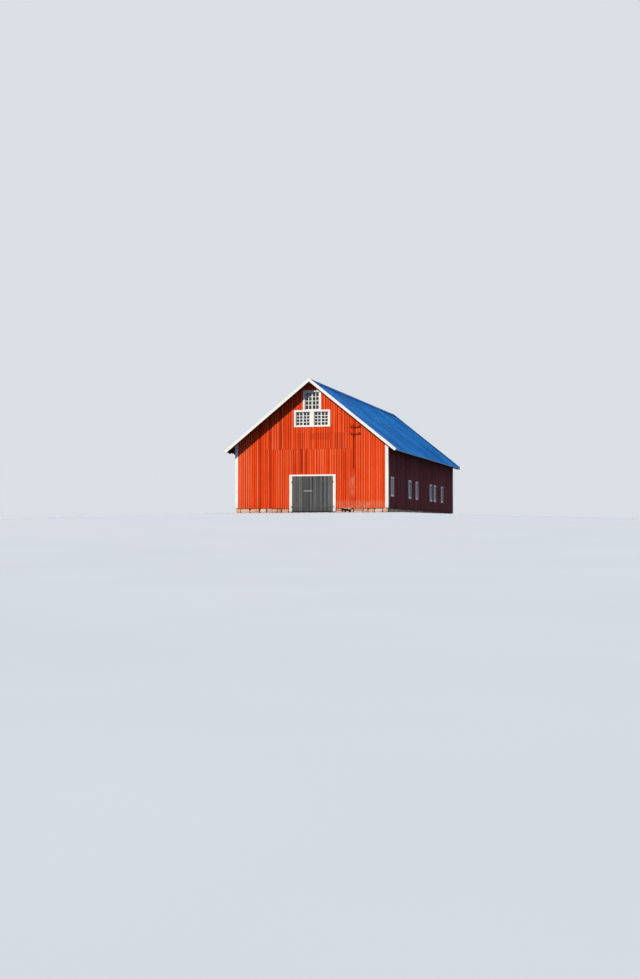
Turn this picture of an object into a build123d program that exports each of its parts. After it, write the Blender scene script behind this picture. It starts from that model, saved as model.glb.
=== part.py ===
"""A red board barn: stone plinth, plank walls, sheet-metal gable roof, a glazed gable and a double door.

Units are millimetres. X runs across the barn, Y along it with the door gable at -Y, and Z is up.
The origin is at ground level, below the middle of the barn.
"""

import os
from math import cos, radians, sin, tan

from build123d import *

os.makedirs("parts", exist_ok=True)

# Walls
barn_width = 12500
barn_length = 32800
wall_thickness = 180

# Heights above the ground
floor_level = 100
plinth_height = 380
eave_height = 5420  # underside of the roof boards at the outer wall face

# Plinth
plinth_setback = 30
plinth_width = 300

# Roof
roof_pitch = 39
eave_overhang = 640
gable_overhang = 600
deck_thickness = 25
sheet_thickness = 6
sheet_lip_drop = 40
ridge_cap_width = 360
rake_thickness = 30
rake_depth = 220
rake_drop = 78  # how far the rake board hangs below the roof boards, square to the slope

# Roof timber
rafter_width = 100
rafter_depth = 175
rafter_bays = 24
tail_height = 120  # of a rafter's end at the eave, below a level cut
ridge_board_width = 40
ridge_board_depth = 300
plate_height = 150
eave_block_thickness = 40

# Loft timber
loft_drop = 125  # loft floor below the top of the wall plates
loft_board_thickness = 35
joist_width = 75
joist_depth = 225
girder_width = 200
girder_depth = 250
girder_spacing = 5800
ledger_width = 60
post_width = 200
post_count = 8

# White corner boards
corner_board_width = 250
corner_board_thickness = 28

# Double door in the front gable
door_centre = 145
door_width = 3350
door_head = 2910
door_edge_gap = 10
door_bottom_gap = 15
leaf_thickness = 32
ledge_thickness = 38
ledge_height = 160
ledge_inset = 60
brace_width = 140
casing_thickness = 30
door_side_casing = 220
door_top_casing = 120

# Strap hinges and their pintles
pintle_radius = 9
hinge_clearance = 0.3
knuckle_radius = 14
knuckle_height = 60
pivot_offset = 20  # pivot axis in front of the leaf's face
pivot_side_offset = 10  # pivot axis outside the door opening
strap_length = 1050
strap_height = 55
strap_thickness = 8
joggle_overlap = 25
pintle_arm_height = 22
pintle_arm_width = 20
pintle_gap = 5
rose_size = 70
rose_thickness = 5
hinge_inset = 410  # hinge straps from the leaf's bottom and top
latch_bar_height = 1730
latch_bar_length = 700
latch_bar_depth = 60
latch_bar_thickness = 30

# Windows high in each gable, as an inverted T about one centre line, hung from the ridge
gable_window_centre = 115
upper_window_width = 1200
upper_window_height = 1430
upper_window_drop = 880  # top of the upper window below the roof boards at the ridge
lower_window_width = 1180
lower_window_height = 1120
between_windows_height = 150  # casing between the upper window and the lower ones
lower_window_spacing = 1490
gable_casing_side = 150
gable_casing_bottom = 80
gable_casing_top = 130
gable_panel_inset = 8

# Windows along each side wall, measured from the front gable
side_window_places = (1650, 9150, 12400, 19600, 21750, 25900)
side_window_width = 1000
side_window_height = 1330
side_window_sill = 1400
side_casing = 110

# Window joinery
frame_depth = 70
frame_setback = 30
stile_width = 60
mullion_width = 90
glass_thickness = 5

# Insulator bracket on the front gable
bracket_place = 3470
bracket_drop = 650  # top of the mast below the roof boards over it
mast_length = 1020
bracket_standoff = 110
mast_radius = 28
arm_drops = (230, 780)  # cross-arms below the mast's top
arm_left_length = 270
arm_right_length = 530
arm_size = 45
stay_drops = (120, 940)  # stays below the mast's top
stay_size = 40
insulator_radius = 45
insulator_height = 130
insulator_inset = 60
conduit_radius = 28
conduit_bottom = 3500

# Derived places
slope = tan(radians(roof_pitch))
sine = sin(radians(roof_pitch))
plumb = 1 / cos(radians(roof_pitch))  # height of a roof layer for each millimetre of thickness
half_width = barn_width / 2
half_length = barn_length / 2
inner_x = half_width - wall_thickness
inner_y = half_length - wall_thickness
plinth_x = half_width - plinth_setback
plinth_y = half_length - plinth_setback
eave_x = half_width + eave_overhang
verge_y = half_length + gable_overhang - rake_thickness
rafter_height = rafter_depth * plumb
deck_height = deck_thickness * plumb
sheet_height = sheet_thickness * plumb
door_left = door_centre - door_width / 2
door_right = door_centre + door_width / 2
leaf_bottom = floor_level + door_bottom_gap
leaf_top = door_head - door_edge_gap
hinge_heights = (leaf_bottom + hinge_inset, leaf_top - hinge_inset)
leaf_width = door_width / 2 - 1.5 * door_edge_gap
plate_top = eave_height - rafter_height
plate_bottom = plate_top - plate_height
joist_top = plate_top - loft_drop - loft_board_thickness
girder_top = joist_top - joist_depth
post_top = girder_top - girder_depth
front_face = Plane.XZ.offset(half_length)


def deck_underside(x):
    """Height of the underside of the roof boards at a distance x from the ridge."""
    return eave_height + (half_width - abs(x)) * slope


upper_window_sill = deck_underside(0) - upper_window_drop - upper_window_height
lower_window_sill = upper_window_sill - between_windows_height - lower_window_height
mast_top = deck_underside(bracket_place) - bracket_drop
arm_heights = [mast_top - drop for drop in arm_drops]
stay_heights = [mast_top - drop for drop in stay_drops]


def roof_band(side, near_x, far_x, low, high):
    """Corners of a sloping band between two plumb cuts, low and high above the deck's underside."""
    return [
        (side * near_x, deck_underside(near_x) + low),
        (side * far_x, deck_underside(far_x) + low),
        (side * far_x, deck_underside(far_x) + high),
        (side * near_x, deck_underside(near_x) + high),
    ]


def ridge_board_outline():
    """Corners of the ridge board's section, bevelled on top to the two slopes."""
    edge = ridge_board_width / 2
    bottom = deck_underside(edge) - ridge_board_depth
    return [
        (-edge, bottom),
        (edge, bottom),
        (edge, deck_underside(edge)),
        (0, deck_underside(0)),
        (-edge, deck_underside(edge)),
    ]


# Stone plinth, open at the doorway, with a floor slab and a threshold inside it
with BuildPart() as foundation_front:
    with BuildSketch():
        for left, right in ((-plinth_x, door_left), (door_right, plinth_x)):
            with Locations(((left + right) / 2, plinth_width / 2 - plinth_y)):
                Rectangle(right - left, plinth_width)
    extrude(amount=plinth_height)
foundation_front.part.label = "foundation_front"
export_step(foundation_front.part, "parts/foundation_front.step")

with BuildPart() as foundation_back:
    with BuildSketch():
        with Locations((0, plinth_y - plinth_width / 2)):
            Rectangle(2 * plinth_x, plinth_width)
    extrude(amount=plinth_height)
foundation_back.part.label = "foundation_back"
export_step(foundation_back.part, "parts/foundation_back.step")

with BuildPart() as foundation_sides:
    with BuildSketch():
        with Locations((plinth_x - plinth_width / 2, 0), (plinth_width / 2 - plinth_x, 0)):
            Rectangle(plinth_width, 2 * (plinth_y - plinth_width))
    extrude(amount=plinth_height)
foundation_sides.part.label = "foundation_sides"
export_step(foundation_sides.part, "parts/foundation_sides.step")

with BuildPart() as floor_slab:
    with BuildSketch():
        Rectangle(2 * (plinth_x - plinth_width), 2 * (plinth_y - plinth_width))
    extrude(amount=floor_level)
floor_slab.part.label = "floor_slab"
export_step(floor_slab.part, "parts/floor_slab.step")

with BuildPart() as door_threshold:
    with BuildSketch():
        with Locations((door_centre, plinth_width / 2 - plinth_y)):
            Rectangle(door_width, plinth_width)
    extrude(amount=floor_level)
door_threshold.part.label = "door_threshold"
export_step(door_threshold.part, "parts/door_threshold.step")


# Places and sizes of the gable windows: centre x, sill, width and height
gable_windows = [
    (gable_window_centre, upper_window_sill, upper_window_width, upper_window_height),
    (gable_window_centre - lower_window_spacing / 2, lower_window_sill, lower_window_width,
     lower_window_height),
    (gable_window_centre + lower_window_spacing / 2, lower_window_sill, lower_window_width,
     lower_window_height),
]


def cut_window_openings(windows):
    """Take a row of window openings out of the wall sketch that is being drawn."""
    for centre, sill, width, height in windows:
        with Locations((centre, sill + height / 2)):
            Rectangle(width, height, mode=Mode.SUBTRACT)


def gable_outline(bottom):
    """Corners of a gable wall from a level up to the roof boards."""
    return [
        (-half_width, bottom),
        (half_width, bottom),
        (half_width, eave_height),
        (0, deck_underside(0)),
        (-half_width, eave_height),
    ]


# Front gable in three pieces round the doorway
for name, near_x, far_x in (
    ("front_wall_left", -half_width, door_left),
    ("front_wall_right", door_right, half_width),
):
    with BuildPart() as front_wall:
        with BuildSketch(front_face.offset(-wall_thickness)):
            with Locations(((near_x + far_x) / 2, (plinth_height + door_head) / 2)):
                Rectangle(far_x - near_x, door_head - plinth_height)
        extrude(amount=wall_thickness)
    front_wall.part.label = name
    export_step(front_wall.part, f"parts/{name}.step")

for name, bottom, inner_face in (
    ("front_gable", door_head, front_face.offset(-wall_thickness)),
    ("back_wall", plinth_height, Plane.XZ.offset(-half_length)),
):
    with BuildPart() as gable_wall:
        with BuildSketch(inner_face):
            with BuildLine():
                Polyline(*gable_outline(bottom), close=True)
            make_face()
            with BuildLine():
                Polyline(*ridge_board_outline(), close=True)
            make_face(mode=Mode.SUBTRACT)
            cut_window_openings(gable_windows)
        extrude(amount=wall_thickness)
    gable_wall.part.label = name
    export_step(gable_wall.part, f"parts/{name}.step")

# Side walls between the gables, each with its row of windows
side_windows = [
    (place - half_length, side_window_sill, side_window_width, side_window_height)
    for place in side_window_places
]
for name, inner_face in (("left_wall", -half_width), ("right_wall", inner_x)):
    with BuildPart() as side_wall:
        with BuildSketch(Plane.YZ.offset(inner_face)):
            with Locations((0, (plinth_height + plate_bottom) / 2)):
                Rectangle(2 * inner_y, plate_bottom - plinth_height)
            cut_window_openings(side_windows)
        extrude(amount=wall_thickness)
    side_wall.part.label = name
    export_step(side_wall.part, f"parts/{name}.step")

# Wall plates on the side walls, bevelled on top so that the rafters lie flat on them
with BuildPart() as wall_plates:
    with BuildSketch(Plane.XZ):
        with BuildLine():
            Polyline(
                (inner_x, plate_bottom),
                (half_width, plate_bottom),
                (half_width, plate_top),
                (inner_x, deck_underside(inner_x) - rafter_height),
                close=True,
            )
        make_face()
    extrude(amount=inner_y, both=True)
    mirror(about=Plane.YZ)
wall_plates.part.label = "wall_plates"
export_step(wall_plates.part, "parts/wall_plates.step")

# Ridge board from verge to verge, through a notch at the top of each gable wall
with BuildPart() as ridge_board:
    with BuildSketch(Plane.XZ):
        with BuildLine():
            Polyline(*ridge_board_outline(), close=True)
        make_face()
    extrude(amount=verge_y, both=True)
ridge_board.part.label = "ridge_board"
export_step(ridge_board.part, "parts/ridge_board.step")

# Rafters: one pair against each gable wall, even bays between them, and a slim pair behind each rake board
first_rafter = inner_y - rafter_width / 2
bay_length = 2 * first_rafter / rafter_bays
inner_rafters = [bay * bay_length - first_rafter for bay in range(rafter_bays + 1)]
verge_rafters = [rafter_width / 2 - verge_y, verge_y - rafter_width / 2]
tail_cut_level = deck_underside(eave_x) - tail_height
tail_cut_x = eave_x - (rafter_height - tail_height) / slope
with BuildPart() as rafters:
    with BuildSketch(*[Plane.XZ.offset(-y - rafter_width / 2) for y in inner_rafters]):
        for side in (-1, 1):
            with BuildLine():
                Polyline(
                    (side * ridge_board_width / 2, deck_underside(ridge_board_width / 2)),
                    (side * ridge_board_width / 2, deck_underside(ridge_board_width / 2) - rafter_height),
                    (side * tail_cut_x, tail_cut_level),
                    (side * eave_x, tail_cut_level),
                    (side * eave_x, deck_underside(eave_x)),
                    close=True,
                )
            make_face()
    with BuildSketch(*[Plane.XZ.offset(-y - rafter_width / 2) for y in verge_rafters]):
        for side in (-1, 1):
            with BuildLine():
                Polyline(
                    *roof_band(side, ridge_board_width / 2, eave_x, -rake_drop * plumb, 0), close=True
                )
            make_face()
    extrude(amount=rafter_width)
rafters.part.label = "rafters"
export_step(rafters.part, "parts/rafters.step")

# Blocks between the rafters that close the wall up to the roof boards
with BuildPart() as eave_blocks:
    with BuildSketch(*[Plane.XZ.offset(-y - bay_length + rafter_width / 2) for y in inner_rafters[:-1]]):
        for side in (-1, 1):
            with BuildLine():
                Polyline(
                    *roof_band(side, half_width - eave_block_thickness, half_width, -rafter_height, 0),
                    close=True,
                )
            make_face()
    extrude(amount=bay_length - rafter_width)
eave_blocks.part.label = "eave_blocks"
export_step(eave_blocks.part, "parts/eave_blocks.step")

# Roof boards and the metal sheet on them, which turns down over the boards' edge at the eave
for side, name in ((-1, "left"), (1, "right")):
    with BuildPart() as roof_deck:
        with BuildSketch(Plane.XZ):
            with BuildLine():
                Polyline(*roof_band(side, 0, eave_x, 0, deck_height), close=True)
            make_face()
        extrude(amount=verge_y, both=True)
    roof_deck.part.label = f"roof_deck_{name}"
    export_step(roof_deck.part, f"parts/roof_deck_{name}.step")

    lip_x = eave_x + sheet_thickness
    lip_bottom = deck_underside(eave_x) - sheet_lip_drop
    with BuildPart() as roof_sheet:
        with BuildSketch(Plane.XZ):
            with BuildLine():
                Polyline(
                    (0, deck_underside(0) + deck_height),
                    (side * eave_x, deck_underside(eave_x) + deck_height),
                    (side * eave_x, lip_bottom),
                    (side * lip_x, lip_bottom),
                    (side * lip_x, deck_underside(lip_x) + deck_height + sheet_height),
                    (0, deck_underside(0) + deck_height + sheet_height),
                    close=True,
                )
            make_face()
        extrude(amount=verge_y, both=True)
    roof_sheet.part.label = f"roof_sheet_{name}"
    export_step(roof_sheet.part, f"parts/roof_sheet_{name}.step")

    # Rake boards cover the verge at both gables, meet plumb at the ridge and are cut square at the eave
    rake_low = deck_underside(eave_x) - rake_drop * plumb
    with BuildPart() as rake_boards:
        with BuildSketch(Plane.XZ.offset(verge_y)):
            with BuildLine():
                Polyline(
                    (0, deck_underside(0) - rake_drop * plumb),
                    (side * eave_x, rake_low),
                    (side * (eave_x + rake_depth * sine), rake_low + rake_depth / plumb),
                    (0, deck_underside(0) + (rake_depth - rake_drop) * plumb),
                    close=True,
                )
            make_face()
        extrude(amount=rake_thickness)
        mirror(about=Plane.XZ)
    rake_boards.part.label = f"rake_boards_{name}"
    export_step(rake_boards.part, f"parts/rake_boards_{name}.step")

# Ridge cap folded over both sheets
cap_low = deck_height + sheet_height
with BuildPart() as ridge_cap:
    with BuildSketch(Plane.XZ):
        for side in (-1, 1):
            with BuildLine():
                Polyline(*roof_band(side, 0, ridge_cap_width / 2, cap_low, cap_low + sheet_height), close=True)
            make_face()
    extrude(amount=verge_y, both=True)
ridge_cap.part.label = "ridge_cap"
export_step(ridge_cap.part, "parts/ridge_cap.step")

# Corner boards: a wide board on the gable face up to the roof boards, and one round the corner
with BuildPart() as corner_boards:
    board_outer = half_width + corner_board_thickness
    board_inner = board_outer - corner_board_width
    with BuildSketch(front_face):
        with BuildLine():
            Polyline(
                (board_inner, plinth_height),
                (board_outer, plinth_height),
                (board_outer, deck_underside(board_outer)),
                (board_inner, deck_underside(board_inner)),
                close=True,
            )
        make_face()
    extrude(amount=corner_board_thickness)
    side_top = deck_underside(board_outer) - rafter_height
    side_reach = corner_board_width - corner_board_thickness
    with BuildSketch(Plane.YZ.offset(half_width)):
        with Locations((side_reach / 2 - half_length, (plinth_height + side_top) / 2)):
            Rectangle(side_reach, side_top - plinth_height)
    extrude(amount=corner_board_thickness)
    mirror(about=Plane.YZ)
    mirror(about=Plane.XZ)
corner_boards.part.label = "corner_boards"
export_step(corner_boards.part, "parts/corner_boards.step")

# Loft: two rows of posts, beams on them and along the side walls, joists across, and a board floor
with BuildPart() as loft_posts:
    post_pitch = (2 * (plinth_y - plinth_width) - post_width) / (post_count - 1)
    with BuildSketch(Plane.XY.offset(floor_level)):
        with GridLocations(girder_spacing, post_pitch, 2, post_count):
            Rectangle(post_width, post_width)
    extrude(amount=post_top - floor_level)
loft_posts.part.label = "loft_posts"
export_step(loft_posts.part, "parts/loft_posts.step")

with BuildPart() as loft_beams:
    with BuildSketch(Plane.XY.offset(post_top)):
        with Locations((-girder_spacing / 2, 0), (girder_spacing / 2, 0)):
            Rectangle(girder_width, 2 * inner_y)
        with Locations((ledger_width / 2 - inner_x, 0), (inner_x - ledger_width / 2, 0)):
            Rectangle(ledger_width, 2 * inner_y)
    extrude(amount=girder_depth)
loft_beams.part.label = "loft_beams"
export_step(loft_beams.part, "parts/loft_beams.step")

with BuildPart() as loft_joists:
    with BuildSketch(Plane.XY.offset(girder_top)):
        with GridLocations(0, bay_length, 1, rafter_bays + 1):
            Rectangle(2 * inner_x, joist_width)
    extrude(amount=joist_depth)
loft_joists.part.label = "loft_joists"
export_step(loft_joists.part, "parts/loft_joists.step")

with BuildPart() as loft_floor:
    with BuildSketch(Plane.XY.offset(joist_top)):
        Rectangle(2 * inner_x, 2 * inner_y)
    extrude(amount=loft_board_thickness)
loft_floor.part.label = "loft_floor"
export_step(loft_floor.part, "parts/loft_floor.step")


# Window joinery: a frame with a middle post in each opening, glass in its two lights, and casings outside
def window_lights(centre, sill, width, height):
    """Centre, middle height, width and height of the two lights of one window."""
    light_width = (width - 2 * stile_width - mullion_width) / 2
    light_height = height - 2 * stile_width
    offset = (light_width + mullion_width) / 2
    return [
        (centre + sign * offset, sill + height / 2, light_width, light_height) for sign in (-1, 1)
    ]


def draw_frames(windows):
    """Draw the frames of a row of windows, with their lights cut out."""
    for centre, sill, width, height in windows:
        with Locations((centre, sill + height / 2)):
            Rectangle(width, height)
    for window in windows:
        for x, z, width, height in window_lights(*window):
            with Locations((x, z)):
                Rectangle(width, height, mode=Mode.SUBTRACT)


def draw_glass(windows):
    """Draw the panes that fill the lights of a row of windows."""
    for window in windows:
        for x, z, width, height in window_lights(*window):
            with Locations((x, z)):
                Rectangle(width, height)


frame_inner = frame_setback + frame_depth
glass_inner = frame_setback + (frame_depth + glass_thickness) / 2

with BuildPart() as gable_window_frames:
    with BuildSketch(front_face.offset(-frame_inner)):
        draw_frames(gable_windows)
    extrude(amount=frame_depth)
    mirror(about=Plane.XZ)
gable_window_frames.part.label = "gable_window_frames"
export_step(gable_window_frames.part, "parts/gable_window_frames.step")

with BuildPart() as gable_window_glass:
    with BuildSketch(front_face.offset(-glass_inner)):
        draw_glass(gable_windows)
    extrude(amount=glass_thickness)
    mirror(about=Plane.XZ)
gable_window_glass.part.label = "gable_window_glass"
export_step(gable_window_glass.part, "parts/gable_window_glass.step")

# Casing boards as an inverted T round the three gable windows, with a board panel between the lower two
lower_casing_width = lower_window_spacing + lower_window_width + 2 * gable_casing_side
lower_casing_bottom = lower_window_sill - gable_casing_bottom
upper_casing_top = upper_window_sill + upper_window_height + gable_casing_top
panel_width = lower_window_spacing - lower_window_width
with BuildPart() as gable_casings:
    with BuildSketch(front_face):
        with Locations((gable_window_centre, (lower_casing_bottom + upper_window_sill) / 2)):
            Rectangle(lower_casing_width, upper_window_sill - lower_casing_bottom)
        with Locations((gable_window_centre, (upper_window_sill + upper_casing_top) / 2)):
            Rectangle(upper_window_width + 2 * gable_casing_side, upper_casing_top - upper_window_sill)
        cut_window_openings(gable_windows)
        with Locations((gable_window_centre, lower_window_sill + lower_window_height / 2)):
            Rectangle(panel_width, lower_window_height, mode=Mode.SUBTRACT)
    extrude(amount=casing_thickness)
    mirror(about=Plane.XZ)
gable_casings.part.label = "gable_casings"
export_step(gable_casings.part, "parts/gable_casings.step")

with BuildPart() as gable_panels:
    with BuildSketch(front_face):
        with Locations((gable_window_centre, lower_window_sill + lower_window_height / 2)):
            Rectangle(panel_width, lower_window_height)
    extrude(amount=casing_thickness - gable_panel_inset)
    mirror(about=Plane.XZ)
gable_panels.part.label = "gable_panels"
export_step(gable_panels.part, "parts/gable_panels.step")

with BuildPart() as side_window_frames:
    with BuildSketch(Plane.YZ.offset(half_width - frame_inner)):
        draw_frames(side_windows)
    extrude(amount=frame_depth)
    mirror(about=Plane.YZ)
side_window_frames.part.label = "side_window_frames"
export_step(side_window_frames.part, "parts/side_window_frames.step")

with BuildPart() as side_window_glass:
    with BuildSketch(Plane.YZ.offset(half_width - glass_inner)):
        draw_glass(side_windows)
    extrude(amount=glass_thickness)
    mirror(about=Plane.YZ)
side_window_glass.part.label = "side_window_glass"
export_step(side_window_glass.part, "parts/side_window_glass.step")

with BuildPart() as side_casings:
    with BuildSketch(Plane.YZ.offset(half_width)):
        for centre, sill, width, height in side_windows:
            with Locations((centre, sill + height / 2)):
                Rectangle(width + 2 * side_casing, height + 2 * side_casing)
        cut_window_openings(side_windows)
    extrude(amount=casing_thickness)
    mirror(about=Plane.YZ)
side_casings.part.label = "side_casings"
export_step(side_casings.part, "parts/side_casings.step")

# White casings on the wall beside and over the door
with BuildPart() as door_side_casings:
    with BuildSketch(front_face):
        for x in (door_left - door_side_casing / 2, door_right + door_side_casing / 2):
            with Locations((x, (floor_level + door_head) / 2)):
                Rectangle(door_side_casing, door_head - floor_level)
    extrude(amount=casing_thickness)
door_side_casings.part.label = "door_side_casings"
export_step(door_side_casings.part, "parts/door_side_casings.step")

with BuildPart() as door_top_board:
    with BuildSketch(front_face):
        with Locations((door_centre, door_head + door_top_casing / 2)):
            Rectangle(door_width + 2 * door_side_casing, door_top_casing)
    extrude(amount=casing_thickness)
door_top_board.part.label = "door_top_board"
export_step(door_top_board.part, "parts/door_top_board.step")

# Door leaves: a board panel flush with the casings, two ledges and a brace behind it, and two straps
leaf_face = front_face.offset(casing_thickness)
for side, name in ((-1, "left"), (1, "right")):
    hinge_edge = door_centre + side * (door_width / 2 - door_edge_gap)
    meeting_edge = hinge_edge - side * leaf_width
    pivot_x = door_centre + side * (door_width / 2 + pivot_side_offset)
    leaf_middle = (hinge_edge + meeting_edge) / 2

    with BuildPart() as door_leaf:
        with BuildSketch(leaf_face.offset(-leaf_thickness)):
            with Locations((leaf_middle, (leaf_bottom + leaf_top) / 2)):
                Rectangle(leaf_width, leaf_top - leaf_bottom)
        extrude(amount=leaf_thickness)
    door_leaf.part.label = f"door_leaf_{name}"
    export_step(door_leaf.part, f"parts/door_leaf_{name}.step")

    with BuildPart() as door_ledges:
        ledge_length = leaf_width - 2 * ledge_inset
        ledge_near = leaf_middle + side * ledge_length / 2
        ledge_far = leaf_middle - side * ledge_length / 2
        with BuildSketch(leaf_face.offset(-leaf_thickness - ledge_thickness)):
            with Locations(*[(leaf_middle, level) for level in hinge_heights]):
                Rectangle(ledge_length, ledge_height)
            with BuildLine():
                Polyline(
                    (ledge_near, hinge_heights[0]),
                    (ledge_near - side * brace_width, hinge_heights[0]),
                    (ledge_far, hinge_heights[1]),
                    (ledge_far + side * brace_width, hinge_heights[1]),
                    close=True,
                )
            make_face()
        extrude(amount=ledge_thickness)
    door_ledges.part.label = f"door_ledges_{name}"
    export_step(door_ledges.part, f"parts/door_ledges_{name}.step")

    with BuildPart() as door_straps:
        joggle_far = hinge_edge - side * joggle_overlap
        for level in hinge_heights:
            with BuildSketch(leaf_face):
                with Locations((hinge_edge - side * strap_length / 2, level)):
                    Rectangle(strap_length, strap_height)
            extrude(amount=strap_thickness)
            with BuildSketch(leaf_face.offset(pivot_offset - knuckle_radius)):
                with Locations(((pivot_x + joggle_far) / 2, level)):
                    Rectangle(abs(joggle_far - pivot_x), strap_height)
            extrude(amount=strap_thickness)
            with BuildSketch(Plane.XY.offset(level - knuckle_height / 2)):
                with Locations((pivot_x, -half_length - casing_thickness - pivot_offset)):
                    Circle(knuckle_radius)
            extrude(amount=knuckle_height)
            with BuildSketch(Plane.XY.offset(level - knuckle_height / 2)):
                with Locations((pivot_x, -half_length - casing_thickness - pivot_offset)):
                    Circle(pintle_radius + hinge_clearance)
            extrude(amount=knuckle_height, mode=Mode.SUBTRACT)
    door_straps.part.label = f"door_straps_{name}"
    export_step(door_straps.part, f"parts/door_straps_{name}.step")

# Pintles: a pin in each strap's knuckle, on an arm that comes out of a rose on the casing
with BuildPart() as door_pintles:
    for side in (-1, 1):
        pivot_x = door_centre + side * (door_width / 2 + pivot_side_offset)
        pivot_y = -half_length - casing_thickness - pivot_offset
        for level in hinge_heights:
            arm_top = level - knuckle_height / 2 - pintle_gap
            with BuildSketch(Plane.XY.offset(arm_top)):
                with Locations((pivot_x, pivot_y)):
                    Circle(pintle_radius)
            extrude(amount=knuckle_height + pintle_gap)
            arm_reach = pivot_offset + pintle_radius
            with BuildSketch(leaf_face):
                with Locations((pivot_x, arm_top - pintle_arm_height / 2)):
                    Rectangle(pintle_arm_width, pintle_arm_height)
            extrude(amount=arm_reach)
            with BuildSketch(leaf_face):
                rose_x = pivot_x + side * (rose_size - pintle_arm_width) / 2
                with Locations((rose_x, arm_top - rose_size / 2)):
                    Rectangle(rose_size, rose_size)
            extrude(amount=rose_thickness)
door_pintles.part.label = "door_pintles"
export_step(door_pintles.part, "parts/door_pintles.step")

# Wooden latch bar on the left leaf, ending at its meeting edge
with BuildPart() as latch_bar:
    latch_right = door_centre - door_edge_gap / 2
    with BuildSketch(leaf_face):
        with Locations((latch_right - latch_bar_length / 2, latch_bar_height)):
            Rectangle(latch_bar_length, latch_bar_depth)
    extrude(amount=latch_bar_thickness)
latch_bar.part.label = "latch_bar"
export_step(latch_bar.part, "parts/latch_bar.step")

# Insulator bracket: a mast on two stays, two cross-arms with an insulator at each end, and a conduit
mast_y = -half_length - bracket_standoff
with BuildPart() as insulator_bracket:
    with BuildSketch(Plane.XY.offset(mast_top - mast_length)):
        with Locations((bracket_place, mast_y)):
            Circle(mast_radius)
    extrude(amount=mast_length)
    with BuildSketch(front_face):
        with Locations(*[(bracket_place, level) for level in stay_heights]):
            Rectangle(stay_size, stay_size)
    extrude(amount=bracket_standoff)
    with BuildSketch(Plane.YZ.offset(bracket_place - arm_left_length)):
        with Locations(*[(mast_y, level) for level in arm_heights]):
            Rectangle(arm_size, arm_size)
    extrude(amount=arm_left_length + arm_right_length)
insulator_bracket.part.label = "insulator_bracket"
export_step(insulator_bracket.part, "parts/insulator_bracket.step")

with BuildPart() as insulators:
    for level in arm_heights:
        with BuildSketch(Plane.XY.offset(level + arm_size / 2)):
            with Locations(
                (bracket_place - arm_left_length + insulator_inset, mast_y),
                (bracket_place + arm_right_length - insulator_inset, mast_y),
            ):
                Circle(insulator_radius)
        extrude(amount=insulator_height, taper=10)
insulators.part.label = "insulators"
export_step(insulators.part, "parts/insulators.step")

with BuildPart() as conduit:
    with BuildSketch(Plane.XY.offset(conduit_bottom)):
        with Locations((bracket_place, -half_length - conduit_radius)):
            Circle(conduit_radius)
    extrude(amount=stay_heights[1] - stay_size / 2 - conduit_bottom)
conduit.part.label = "conduit"
export_step(conduit.part, "parts/conduit.step")
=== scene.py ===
"""Looks of a red board barn: its boards, stones, seams, panes and finishes, and the light and camera.

Lengths are metres. X runs across the barn, Y along it with the door gable at -Y, and Z is up.
"""

from itertools import product
from math import copysign, cos, pi, radians, sin, tan
from random import Random

import bmesh
import bpy
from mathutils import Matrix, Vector


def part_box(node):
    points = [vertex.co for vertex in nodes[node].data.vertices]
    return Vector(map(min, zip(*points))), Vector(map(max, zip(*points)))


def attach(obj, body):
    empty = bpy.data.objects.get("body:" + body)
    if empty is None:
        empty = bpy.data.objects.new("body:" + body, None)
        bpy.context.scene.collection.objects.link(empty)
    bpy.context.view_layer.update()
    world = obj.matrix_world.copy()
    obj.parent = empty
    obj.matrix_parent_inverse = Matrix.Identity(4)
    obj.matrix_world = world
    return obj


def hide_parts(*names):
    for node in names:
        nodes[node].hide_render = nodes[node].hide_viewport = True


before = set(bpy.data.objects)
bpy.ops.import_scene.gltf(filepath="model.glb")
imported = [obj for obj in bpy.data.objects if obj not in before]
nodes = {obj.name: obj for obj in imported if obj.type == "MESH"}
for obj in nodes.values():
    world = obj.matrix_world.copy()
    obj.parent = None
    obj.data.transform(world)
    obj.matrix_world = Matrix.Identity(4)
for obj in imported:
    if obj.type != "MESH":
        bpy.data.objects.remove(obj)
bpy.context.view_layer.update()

x_axis = Vector((1, 0, 0))
y_axis = Vector((0, 1, 0))
z_axis = Vector((0, 0, 1))

# Places read from the frame
half_width, half_length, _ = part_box("back_wall")[1]
plinth_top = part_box("back_wall")[0].z
ridge_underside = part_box("ridge_board")[1].z
eave_x, verge_y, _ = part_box("roof_deck_right")[1]
sheet_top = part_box("roof_sheet_right")[1].z
rake_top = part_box("rake_boards_right")[1].z
cap_edge, _, cap_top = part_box("ridge_cap")[1]
corner_boards_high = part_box("corner_boards")[1]

# Roof frame
roof_pitch = radians(39)
slope = tan(roof_pitch)
rafter_depth = 0.175  # square to the rafter's length

# Board cladding
board_width = (0.165, 0.22)
board_depth = 0.004
board_root = 0.002  # how far the boards reach into the wall
board_tones = (-0.15, 0.55)
cover_width = (0.075, 0.12)
cover_depth = 0.028
cover_shift = 0.01
cover_tones = (0.3, 1.05)
dark_cover_tone = -0.2
plain_cover_share = 0.92
edge_chamfer = 0.004
board_drop = 0.025  # how far the boards hang below the foot of the wall
board_foot = 0.01  # how much lower some boards end than others
cover_foot = 0.012
board_station = 1.4  # length of board between two slight bends
board_bend = 0.003
least_board = 0.02
corner_board_width = 0.25

# Front gable: a level joint in its middle part, and boards laid level in the peak
joint_left = -3.70
joint_right = 3.40
joint_level = 5.065
joint_gap = 0.012
peak_clearance = 0.06
peak_board_height = (0.13, 0.16)
peak_board_tones = (0.0, 0.6)
peak_rest = 0.12  # height under the ridge too small for another board
peak_tip = 0.01  # half the top edge of a board that ends at the ridge
peak_lap = 0.5  # depth of a peak board's top edge, as a share of its foot's

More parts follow.
